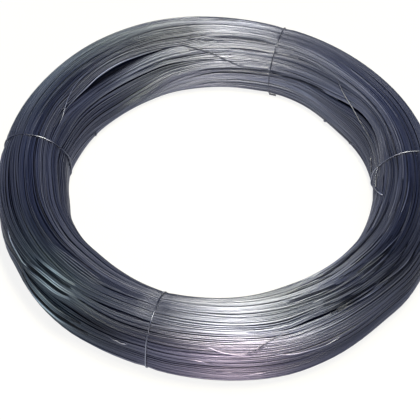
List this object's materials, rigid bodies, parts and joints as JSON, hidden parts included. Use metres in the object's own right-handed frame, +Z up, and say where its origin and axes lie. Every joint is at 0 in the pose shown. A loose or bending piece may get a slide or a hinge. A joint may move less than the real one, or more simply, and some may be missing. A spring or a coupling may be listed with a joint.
{
  "type": "coil of drawn steel wire",
  "caption": "Flat-lying ring of fine drawn steel wire wound in overlapping lays around an open bore and bound by tie wires, as stock for wire-working machines.",
  "frame": {"origin": "on the floor, on the axis of the coil's bore", "axes": "+Z up along the bore axis, -Y towards the viewer of the picture, +X to the viewer's right"},
  "size_m": [0.7219, 0.7219, 0.117],
  "materials": {
    "coil_wire": "dark drawn steel, satin, slightly oily",
    "tie_wire": "bare soft steel, satin"
  },
  "bodies": {
    "root": {"wire_coil": "coil_wire", "tie_wire_left": "tie_wire", "tie_wire_back": "tie_wire", "tie_wire_right": "tie_wire", "tie_wire_front": "tie_wire"}
  },
  "joints": []
}
